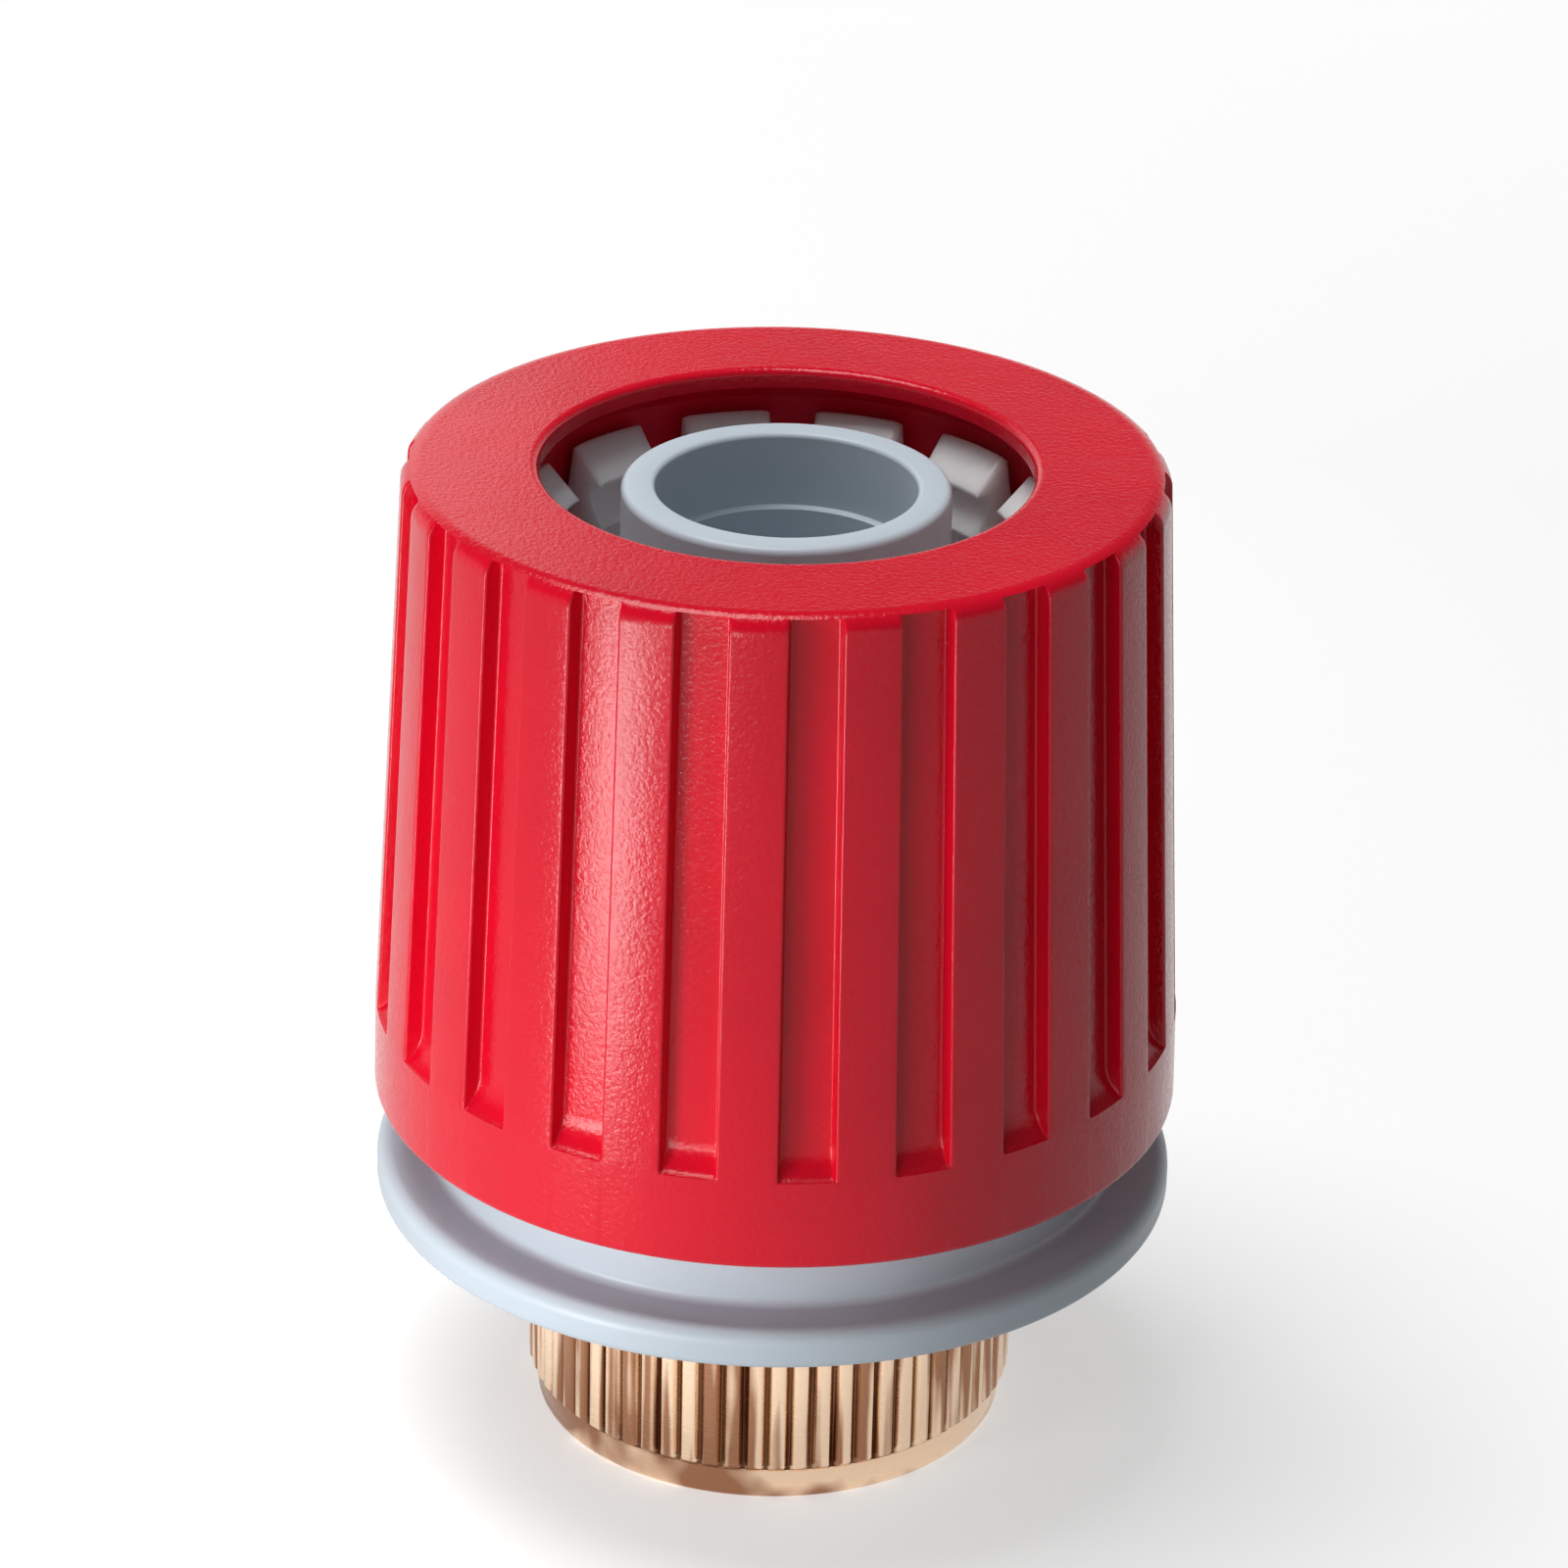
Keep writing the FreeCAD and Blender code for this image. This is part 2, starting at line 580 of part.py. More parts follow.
def make_clamp_nut(doc, s):
    """Fluted cap nut: mouth, press cone over the claws, coarse thread, plain skirt."""
    body = new_body(doc, "clamp_nut")
    mouth_radius = s.grip_radius + s.nut_mouth_step
    ledge_radius = mouth_radius + s.nut_lip_ledge
    cone_foot_radius = s.claw_foot_radius + s.cone_gap
    thread_wall = s.thread_crest + s.thread_gap
    room_top = s.ring_seat + s.nut_thread_room
    skirt_top = s.nut_rim + s.nut_skirt_height
    revolve(body, "shell", [
        (s.skirt_radius, s.nut_rim),
        (s.nut_rim_radius, s.nut_rim),
        (s.nut_band_radius, s.nut_band_top),
        (s.nut_shoulder_radius, s.nut_top),
        (mouth_radius, s.nut_top),
        (mouth_radius, s.nut_lip_bottom),
        (ledge_radius, s.nut_lip_bottom),
        (ledge_radius + s.nut_press_cone, s.press_cone_top),
        (cone_foot_radius, s.ring_collar_top),
        (cone_foot_radius, room_top),
        (thread_wall, room_top),
        (thread_wall, skirt_top + s.thread_gap),
        (s.skirt_radius, skirt_top),
    ])
    round_edges(body, "shoulder", s.nut_shoulder_round,
                circle_at(s.nut_shoulder_radius, s.nut_top))
    round_edges(body, "mouth_edge", s.nut_mouth_round, circle_at(mouth_radius, s.nut_top))
    round_edges(body, "rim_edge", s.nut_rim_round, circle_at(s.nut_rim_radius, s.nut_rim))
    make_flutes(body, s)
    helix(body, "nut_thread", s, thread_wall + BITE, thread_wall - s.thread_depth,
          s.neck_thread_middle + s.thread_pitch / 2, s.thread_pitch * s.nut_thread_turns)
    return body


def make_flutes(body, s):
    """Flutes with radial walls and a curved lower end, closed on top by the shoulder."""
    slope = s.nut_taper / (s.nut_top - s.nut_band_top)
    floor_end = s.nut_band_top + s.flute_run_out
    flute_top = s.nut_top - s.flute_top_gap
    floor_low = s.nut_band_radius - s.flute_depth - slope * s.flute_run_out
    floor_high = s.nut_shoulder_radius - s.flute_depth + slope * s.flute_top_gap
    outside = s.nut_rim_radius + CUT_MARGIN
    points = [
        (floor_high, flute_top),
        (outside, flute_top),
        (outside, s.nut_band_top),
        (s.nut_band_radius, s.nut_band_top),
        (floor_low, floor_end),
    ]
    flute = sector_groove(body, "flute", points, s.flute_angle, s.flute_turn, {3: "end"})
    repeat(body, "flutes", flute, s.flute_count)


def check(doc, bodies):
    """Stops the macro if any object failed or any piece is not one valid solid."""
    for item in doc.Objects:
        if "Invalid" in item.State or "Error" in item.State:
            raise RuntimeError(f"{item.Name} failed: {item.State}")
    for body in bodies:
        if body.Shape.isNull() or not body.Shape.isValid() or len(body.Shape.Solids) != 1:
            raise RuntimeError(f"{body.Label} is not one valid solid")


def main():
    doc = FreeCAD.newDocument("tap_connector")
    sizes = Sizes(doc)
    doc.recompute()
    makers = (
        make_union_nut,
        make_gasket,
        make_hose_spigot,
        make_connector_body,
        make_clamp_ring,
        make_clamp_nut,
    )
    bodies = [make(doc, sizes) for make in makers]
    doc.recompute()
    check(doc, bodies)
    os.makedirs("parts", exist_ok=True)
    for body in bodies:
        body.Shape.exportStep(f"parts/{body.Label}.step")
        box = body.Shape.BoundBox
        print(body.Label, round(body.Shape.Volume, 1), round(box.ZMin, 2), round(box.ZMax, 2))


main()
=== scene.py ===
import json
import math

import bmesh
import bpy
from mathutils import Matrix, Vector


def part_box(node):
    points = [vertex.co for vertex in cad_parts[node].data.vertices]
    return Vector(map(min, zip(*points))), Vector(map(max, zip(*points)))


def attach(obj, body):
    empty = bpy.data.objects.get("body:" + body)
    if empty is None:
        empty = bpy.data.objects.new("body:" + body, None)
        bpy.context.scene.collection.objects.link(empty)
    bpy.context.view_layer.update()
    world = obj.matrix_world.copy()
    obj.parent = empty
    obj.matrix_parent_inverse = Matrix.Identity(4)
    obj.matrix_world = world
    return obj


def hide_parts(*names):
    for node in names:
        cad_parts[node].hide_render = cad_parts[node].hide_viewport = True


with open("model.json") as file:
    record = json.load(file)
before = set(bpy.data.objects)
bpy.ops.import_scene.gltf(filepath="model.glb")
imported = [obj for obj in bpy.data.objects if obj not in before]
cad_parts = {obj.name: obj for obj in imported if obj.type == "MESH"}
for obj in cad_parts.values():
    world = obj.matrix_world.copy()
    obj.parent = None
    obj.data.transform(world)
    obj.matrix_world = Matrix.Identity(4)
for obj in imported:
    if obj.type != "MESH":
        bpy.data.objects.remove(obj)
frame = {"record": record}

# Tap connector with a screw-down hose clamp. Metres, +Z up, origin at the centre of
# the union nut's lower rim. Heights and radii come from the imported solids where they
# have them, and every piece is a turned or moulded form round the Z axis.

bl_info = {
    "name": "Tap Connector",
    "version": (1, 0, 0),
    "blender": (4, 5, 0),
    "location": "View3D > Sidebar > Tap Connector",
    "description": "Brass and plastic tap connector with a screw-down hose clamp",
    "category": "Add Mesh",
}

MM = 0.001
FULL_TURN = 2 * math.pi
TURN_STEPS = 192
NEAR = 1e-6
SHARP_ANGLE = math.radians(32)

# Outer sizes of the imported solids.
CAP_LOW, CAP_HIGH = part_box("clamp_nut")
RING_LOW, RING_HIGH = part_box("clamp_ring")
SPIGOT_LOW, SPIGOT_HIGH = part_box("hose_spigot")
BODY_LOW, BODY_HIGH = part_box("connector_body")
UNION_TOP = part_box("union_nut")[1][2]
GASKET_LOW, GASKET_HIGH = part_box("gasket")

# Coarse clamp thread, shared by neck and clamp nut.
THREAD_PITCH = 4.0 * MM
THREAD_ROOT = 18.3 * MM
THREAD_DEPTH = 1.4 * MM
THREAD_BASE = 2.4 * MM
THREAD_CREST = 1.2 * MM
NECK_THREAD_START = 26.3 * MM
NECK_THREAD_TURNS = 2.5
CAP_THREAD_TURNS = 2.0
THREAD_GAP = 0.3 * MM
THREAD_SUNK = 0.2 * MM
THREAD_STEPS_A_TURN = 96


def length(name, description, default):
    """A property for a length in metres."""
    return bpy.props.FloatProperty(
        name=name, description=description, default=default, min=0.0,
        precision=5, unit="LENGTH", subtype="DISTANCE")


def angle(name, description, degrees):
    """A property for an angle, given in degrees and held in radians."""
    return bpy.props.FloatProperty(
        name=name, description=description, default=math.radians(degrees),
        unit="ROTATION", subtype="ANGLE")


def colour(name, description, default):
    """A property for a colour."""
    return bpy.props.FloatVectorProperty(
        name=name, description=description, default=default, size=3,
        min=0.0, max=1.0, subtype="COLOR")


class UnionNutSettings(bpy.types.PropertyGroup):
    knurl_radius: length("Knurl radius", "Radius at the tips of the knurl", 14.15 * MM)
    collar_radius: length("Collar radius", "Smooth collar under the knurl", 13.6 * MM)
    collar_height: length("Collar height", "Height of the smooth collar", 2.0 * MM)
    bore_radius: length("Bore radius", "Wall of the tap thread", 11.0 * MM)
    knurl_teeth: bpy.props.IntProperty(
        name="Knurl teeth", description="Number of knurl teeth", default=68, min=12)
    brass: colour("Brass", "Colour of the brass", (1.0, 0.74, 0.53))
    rubber: colour("Rubber", "Colour of the gasket", (0.035, 0.035, 0.038))


class BodySettings(bpy.types.PropertyGroup):
    neck_radius: length("Neck radius", "Smooth neck above the flange", 19.85 * MM)
    neck_bore: length("Neck bore", "Hollow round the hose", 16.0 * MM)
    tube_radius: length("Spigot radius", "Outside of the hose spigot", 9.2 * MM)
    waterway: length("Waterway", "Radius of the waterway", 7.0 * MM)
    grey: colour("Grey", "Colour of body and spigot", (0.58, 0.66, 0.73))


class ClawSettings(bpy.types.PropertyGroup):
    claws: bpy.props.IntProperty(
        name="Claws", description="Number of claws", default=12, min=3)
    slot_width: angle("Slot", "Slot between two claws", 10.0)
    slot_turn: angle("Slot direction", "Direction of a slot from +X", 29.0)
    white: colour("White", "Colour of the claws", (0.93, 0.87, 0.87))


class CapSettings(bpy.types.PropertyGroup):
    flutes: bpy.props.IntProperty(
        name="Flutes", description="Number of flutes", default=22, min=6)
    flute_width: angle("Flute width", "Width of a flute", 7.8)
    flute_turn: angle("Flute direction", "Direction of the front flute from +X", -85.25)
    flute_depth: length("Flute depth", "Depth of the flutes", 1.05 * MM)
    red: colour("Red", "Colour of the clamp nut", (0.74, 0.0025, 0.022))


class StageSettings(bpy.types.PropertyGroup):
    floor_size: length("Floor size", "Side of the square floor", 6.0)
    camera_distance: length("Camera distance", "Level distance to the axis", 0.31844)
    camera_height: length("Camera height", "Height above the floor", 0.19154)


class TapConnectorSettings(bpy.types.PropertyGroup):
    union: bpy.props.PointerProperty(type=UnionNutSettings)
    body: bpy.props.PointerProperty(type=BodySettings)
    claws: bpy.props.PointerProperty(type=ClawSettings)
    cap: bpy.props.PointerProperty(type=CapSettings)
    stage: bpy.props.PointerProperty(type=StageSettings)


# Mesh helpers


def turn_outline(bm, points, steps=TURN_STEPS):
    """Turns a closed outline of (radius, height) once round the axis."""
    verts = [bm.verts.new((radius, 0.0, height)) for radius, height in points]
    edges = [bm.edges.new(pair) for pair in zip(verts, verts[1:] + verts[:1])]
    bmesh.ops.spin(
        bm, geom=verts + edges, cent=(0, 0, 0), axis=(0, 0, 1), dvec=(0, 0, 0),
        angle=FULL_TURN, steps=steps, use_merge=True, use_duplicate=False)


def round_edges(bm, edges, amount, segments, clamp_overlap=False):
    """Rounds edges by an amount in metres."""
    bmesh.ops.bevel(
        bm, geom=edges, offset=amount, offset_type="OFFSET", segments=segments,
        profile=0.5, affect="EDGES", material=-1, clamp_overlap=clamp_overlap)


def round_ring(bm, radius, height, amount, segments=4):
    """Rounds the ring of edges at a radius and height."""
    ring = [
        edge for edge in bm.edges
        if all(abs(vert.co.xy.length - radius) < NEAR and abs(vert.co.z - height) < NEAR
               for vert in edge.verts)
    ]
    if not ring:
        raise RuntimeError(f"no ring at radius {radius} and height {height}")
    round_edges(bm, ring, amount, segments)


def wind_ridge(bm, root, crest, base, top, start, turns, pitch):
    """Winds a right-hand thread ridge round the axis from +X, with its middle at start."""
    section = [(root, start - base / 2), (crest, start - top / 2),
               (crest, start + top / 2), (root, start + base / 2)]
    verts = [bm.verts.new((radius, 0.0, height)) for radius, height in section]
    face = bm.faces.new(verts)
    steps = round(turns * THREAD_STEPS_A_TURN)
    bmesh.ops.spin(
        bm, geom=verts + list(face.edges) + [face], cent=(0, 0, 0), axis=(0, 0, 1),
        dvec=(0, 0, turns * pitch / steps), angle=turns * FULL_TURN, steps=steps,
        use_merge=False, use_duplicate=False)


def stack_rings(bm, rings):
    """Joins closed rings of points to a skin. The last ring meets the first."""
    column = bm.verts.layers.int.new("column")
    verts = bmesh.ops.create_circle(
        bm, cap_ends=False, radius=1.0, segments=len(rings[0]))["verts"]
    for number, vert in enumerate(verts):
        vert[column] = number
        vert.co = rings[0][number]
    edges = list(bm.edges)
    for ring in rings[1:]:
        grown = bmesh.ops.extrude_edge_only(bm, edges=edges)["geom"]
        verts = {item for item in grown if isinstance(item, bmesh.types.BMVert)}
        edges = [item for item in grown
                 if isinstance(item, bmesh.types.BMEdge) and set(item.verts) <= verts]
        for vert in verts:
            vert.co = ring[vert[column]]
    bmesh.ops.remove_doubles(bm, verts=list(bm.verts), dist=NEAR / 10)


def polar(radius, turn, height):
    return Vector((radius * math.cos(turn), radius * math.sin(turn), height))


def finish_piece(bm, name, material, node):
    """Makes the mesh an object that stands for its node and rides on the node's body."""
    bmesh.ops.recalc_face_normals(bm, faces=list(bm.faces))
    for face in bm.faces:
        face.smooth = True
    for edge in bm.edges:
        edge.smooth = not edge.is_manifold or edge.calc_face_angle() < SHARP_ANGLE
    mesh = bpy.data.meshes.new(name)
    bm.to_mesh(mesh)
    bm.free()
    mesh.materials.append(material)
    piece = bpy.data.objects.new(name, mesh)
    bpy.context.collection.objects.link(piece)
    weighted = piece.modifiers.new("Even shading", "WEIGHTED_NORMAL")
    weighted.keep_sharp = True
    bodies = frame["record"]["behaviour"]["bodies"]
    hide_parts(node)
    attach(piece, next(body for body, nodes in bodies.items() if node in nodes))


# Materials


def join_values(nodes, links, operation, *values):
    """Joins values, each a socket or a number, in one math node."""
    node = nodes.new("ShaderNodeMath")
    node.operation = operation
    for socket, value in zip(node.inputs, values):
        if isinstance(value, float):
            socket.default_value = value
        else:
            links.new(value, socket)
    return node.outputs[0]


def map_value(nodes, links, value, low, high):
    """Maps a value evenly. low and high each pair a value with its result."""
    node = nodes.new("ShaderNodeMapRange")
    for end, (before, after) in (("Min", low), ("Max", high)):
        node.inputs[f"From {end}"].default_value = before
        node.inputs[f"To {end}"].default_value = after
    links.new(value, node.inputs["Value"])
    return node.outputs["Result"]


class Shader:
    """A node material round one Principled shader."""

    def __init__(self, name):
        self.material = bpy.data.materials.new(name)
        self.material.use_nodes = True
        self.nodes = self.material.node_tree.nodes
        self.links = self.material.node_tree.links
        self.main = self.nodes["Principled BSDF"]
        self.place = self.add("ShaderNodeTexCoord").outputs["Object"]

    def add(self, kind, **settings):
        node = self.nodes.new(kind)
        for name, value in settings.items():
            setattr(node, name, value)
        return node

    def set(self, **values):
        for name, value in values.items():
            self.main.inputs[name.replace("_", " ")].default_value = value

    def noise(self, size, detail=3.0, roughness=0.55, stretch=(1, 1, 1)):
        """Noise whose lumps are about size metres across, stretched along an axis."""
        mapping = self.add("ShaderNodeMapping")
        mapping.inputs["Scale"].default_value = [1 / (size * way) for way in stretch]
        self.links.new(self.place, mapping.inputs["Vector"])
        noise = self.add("ShaderNodeTexNoise")
        noise.inputs["Scale"].default_value = 1.0
        noise.inputs["Detail"].default_value = detail
        noise.inputs["Roughness"].default_value = roughness
        self.links.new(mapping.outputs["Vector"], noise.inputs["Vector"])
        return noise.outputs["Fac"]

    def ramp(self, factor, low, high, start=0.35, end=0.65):
        """Two colours or greys, mixed by a factor."""
        ramp = self.add("ShaderNodeValToRGB")
        stops = ramp.color_ramp.elements
        for stop, place, tone in zip(stops, (start, end), (low, high)):
            stop.position = place
            stop.color = (*tone, 1.0) if isinstance(tone, tuple) else (tone, tone, tone, 1.0)
        self.links.new(factor, ramp.inputs["Fac"])
        return ramp.outputs["Color"]

    def bump(self, height, depth, under=None):
        """A bump of a depth in metres, on top of another bump."""
        bump = self.add("ShaderNodeBump")
        bump.inputs["Distance"].default_value = depth
        self.links.new(height, bump.inputs["Height"])
        if under:
            self.links.new(under, bump.inputs["Normal"])
        return bump.outputs["Normal"]

    def height(self):
        """Height above the floor in metres."""
        parts = self.add("ShaderNodeSeparateXYZ")
        self.links.new(self.place, parts.inputs["Vector"])
        return parts.outputs["Z"]

    def distance_to_axis(self):
        """Distance to the Z axis in metres."""
        level = self.add("ShaderNodeVectorMath", operation="MULTIPLY")
        level.inputs[1].default_value = (1, 1, 0)
        self.links.new(self.place, level.inputs[0])
        reach = self.add("ShaderNodeVectorMath", operation="LENGTH")
        self.links.new(level.outputs["Vector"], reach.inputs[0])
        return reach.outputs["Value"]

    def use(self, output, name):
        self.links.new(output, self.main.inputs[name])


def shade(tone, factor):
    return tuple(min(1.0, channel * factor) for channel in tone)


def make_red_plastic(red):
    """Saturated red moulding with a fine spark-eroded grain."""
    shader = Shader("red_plastic")
    drift = shader.noise(14 * MM, detail=2.0)
    shader.use(shader.ramp(drift, shade(red, 0.93), shade(red, 1.05)), "Base Color")
    grain = shader.noise(0.3 * MM, detail=2.0, roughness=0.65)
    shader.use(shader.ramp(grain, 0.12, 0.24), "Roughness")
    waves = shader.bump(shader.noise(3.2 * MM, detail=1.0), 0.02 * MM)
    shader.use(shader.bump(grain, 0.032 * MM, under=waves), "Normal")
    shader.set(Specular_IOR_Level=0.28, IOR=1.5)
    return shader.material


def make_grey_plastic(grey):
    """Light blue-grey moulding with a satin surface."""
    shader = Shader("grey_plastic")
    drift = shader.noise(11 * MM, detail=2.0)
    shader.use(shader.ramp(drift, shade(grey, 0.97), shade(grey, 1.02)), "Base Color")
    grain = shader.noise(0.16 * MM, detail=2.0)
    shader.use(shader.ramp(grain, 0.33, 0.42), "Roughness")
    waves = shader.bump(shader.noise(4.0 * MM, detail=1.0), 0.012 * MM)
    shader.use(shader.bump(grain, 0.006 * MM, under=waves), "Normal")
    shader.set(Specular_IOR_Level=0.38, IOR=1.5)
    return shader.material


def make_white_plastic(white):
    """Milky, slightly see-through white moulding."""
    shader = Shader("white_plastic")
    drift = shader.noise(5 * MM, detail=2.0)
    shader.use(shader.ramp(drift, shade(white, 0.95), shade(white, 1.03)), "Base Color")
    grain = shader.noise(0.2 * MM, detail=2.0)
    shader.use(shader.ramp(grain, 0.3, 0.4), "Roughness")
    shader.use(shader.bump(grain, 0.008 * MM), "Normal")
    shader.set(Subsurface_Weight=0.9, Subsurface_Scale=2.5 * MM, IOR=1.5)
    shader.main.inputs["Subsurface Radius"].default_value = (1.0, 0.85, 0.8)
    return shader.material


def make_brass(brass, root, tip, collar_top):
    """Turned brass with fine tool marks round the axis, tarnish in the knurl, and painted
    shade in the knurl's grooves.
    """
    shader = Shader("brass")
    tree = shader.nodes, shader.links
    knurled = join_values(*tree, "GREATER_THAN", shader.height(), collar_top)
    streaks = shader.noise(0.9 * MM, detail=1.0, stretch=(1, 1, 20))
    patches = shader.noise(9 * MM, detail=3.0)
    streak_share = 0.8
    stain = shader.add("ShaderNodeMix")
    shader.links.new(join_values(*tree, "MULTIPLY", knurled, streak_share),
                     stain.inputs["Factor"])
    shader.links.new(patches, stain.inputs["A"])
    shader.links.new(streaks, stain.inputs["B"])
    tarnish = (brass[0] * 0.4, brass[1] * 0.26, brass[2] * 0.2)
    clean = shader.ramp(stain.outputs["Result"], tarnish, brass, start=0.42, end=0.51)
    # Painted shade: the knurl's colour darkens towards the roots of its grooves, by distance
    # to the axis.
    rise = map_value(*tree, shader.distance_to_axis(), (root, 0.0), (tip, 1.0))
    groove = shader.ramp(rise, (0.2, 0.12, 0.08), (1.0, 1.0, 1.0), start=0.05, end=0.6)
    mix = shader.add("ShaderNodeMix", data_type="RGBA", blend_type="MULTIPLY")
    shader.links.new(knurled, mix.inputs["Factor"])
    shader.links.new(clean, mix.inputs["A"])
    shader.links.new(groove, mix.inputs["B"])
    shader.use(mix.outputs["Result"], "Base Color")
    marks = shader.noise(0.12 * MM, detail=4.0, stretch=(60, 60, 1))
    shader.use(shader.ramp(marks, 0.16, 0.3), "Roughness")
    pits = shader.bump(shader.noise(0.3 * MM, detail=3.0), 0.006 * MM)
    shader.use(shader.bump(marks, 0.004 * MM, under=pits), "Normal")
    shader.set(Metallic=1.0)
    return shader.material


def make_rubber(rubber):
    """Matt black rubber."""
    shader = Shader("rubber")
    bloom = shader.noise(1.5 * MM, detail=4.0)
    shader.use(shader.ramp(bloom, rubber, shade(rubber, 1.7)), "Base Color")
    shader.use(shader.ramp(bloom, 0.6, 0.75), "Roughness")
    shader.use(shader.bump(shader.noise(0.15 * MM), 0.01 * MM), "Normal")
    return shader.material


# Pieces


def knurl_columns(teeth):
    """Angle and share of the groove's depth for each column round the knurl."""
    tooth = (  # place in the pitch from the middle of a tip, share of the depth
        (-0.25, 0.04), (-0.12, 0.0), (0.0, 0.0), (0.12, 0.0), (0.25, 0.04),
        (0.31, 0.18), (0.44, 0.92), (0.5, 1.0), (0.56, 0.92), (0.69, 0.18),
    )
    first_tip = 0.5
    return [((number + place + first_tip) * FULL_TURN / teeth, share)
            for number in range(teeth) for place, share in tooth]


class TAPCONNECTOR_OT_union_nut(bpy.types.Operator):
    """Adds the knurled brass union nut with its tap thread"""

    bl_idname = "tapconnector.union_nut"
    bl_label = "Union nut"

    def execute(self, context):
        s = context.scene.tap_connector.union
        columns = knurl_columns(s.knurl_teeth)
        top = UNION_TOP
        collar_top = s.collar_height
        root = s.knurl_radius - 0.4 * MM
        end = 0.45 * MM
        lip_bottom, lip_bore, lip_edge = 11.8 * MM, 9.4 * MM, 0.25 * MM
        chamber = 11.45 * MM
        thread_top, lead_in = 6.6 * MM, 0.9 * MM
        pitch, turns, thread_depth, crest = 1.0 * MM, 4.7, 0.54 * MM, 0.16 * MM
        chamfer = 0.4 * MM
        outside = [  # tip radius, root radius, height
            (s.collar_radius, s.collar_radius, chamfer),
            (s.collar_radius, s.collar_radius, collar_top - 0.1 * MM),
            (s.collar_radius + 0.1 * MM, root, collar_top + 0.02 * MM),
            (s.knurl_radius - 0.06 * MM, root, collar_top + end - 0.05 * MM),
            (s.knurl_radius, root, collar_top + end + 0.06 * MM),
            (s.knurl_radius, root, (collar_top + top) / 2),
            (s.knurl_radius, root, top - end - 0.08 * MM),
            (s.knurl_radius - 0.08 * MM, root, top - end + 0.04 * MM),
            (s.knurl_radius - end + 0.06 * MM, root, top - 0.08 * MM),
        ]
        inside = [  # radius, height
            (s.knurl_radius - end - 0.14 * MM, top),
            (lip_bore + lip_edge, top), (lip_bore, top - lip_edge),
            (lip_bore, lip_bottom), (chamber, lip_bottom), (chamber, thread_top),
            (s.bore_radius, thread_top), (s.bore_radius, lead_in),
            (s.bore_radius + lead_in, 0.0), (s.collar_radius - chamfer, 0.0),
            (s.collar_radius - 0.1 * MM, chamfer - 0.2 * MM),
        ]
        rings = [[polar(tip + (low - tip) * share, turn, height) for turn, share in columns]
                 for tip, low, height in outside]
        rings += [[polar(radius, turn, height) for turn, _ in columns]
                  for radius, height in inside]
        bm = bmesh.new()
        stack_rings(bm, rings + rings[:1])
        wind_ridge(bm, s.bore_radius + 0.05 * MM, s.bore_radius - thread_depth,
                   0.92 * pitch, crest, lead_in + pitch / 2, turns, pitch)
        brass = make_brass(s.brass[:], root, s.knurl_radius, collar_top + 0.1 * MM)
        finish_piece(bm, "union_nut_turned", brass, "union_nut")
        return {"FINISHED"}


class TAPCONNECTOR_OT_gasket(bpy.types.Operator):
    """Adds the rubber washer in the union nut"""

    bl_idname = "tapconnector.gasket"
    bl_label = "Gasket"

    def execute(self, context):
        s = context.scene.tap_connector.union
        bore = 7.5 * MM
        outside = GASKET_HIGH[0]
        edges = [(bore, GASKET_LOW[2]), (outside, GASKET_LOW[2]),
                 (outside, GASKET_HIGH[2]), (bore, GASKET_HIGH[2])]
        bm = bmesh.new()
        turn_outline(bm, edges)
        for radius, height in edges:
            round_ring(bm, radius, height, 0.2 * MM, segments=3)
        finish_piece(bm, "gasket_washer", make_rubber(s.rubber[:]), "gasket")
        return {"FINISHED"}


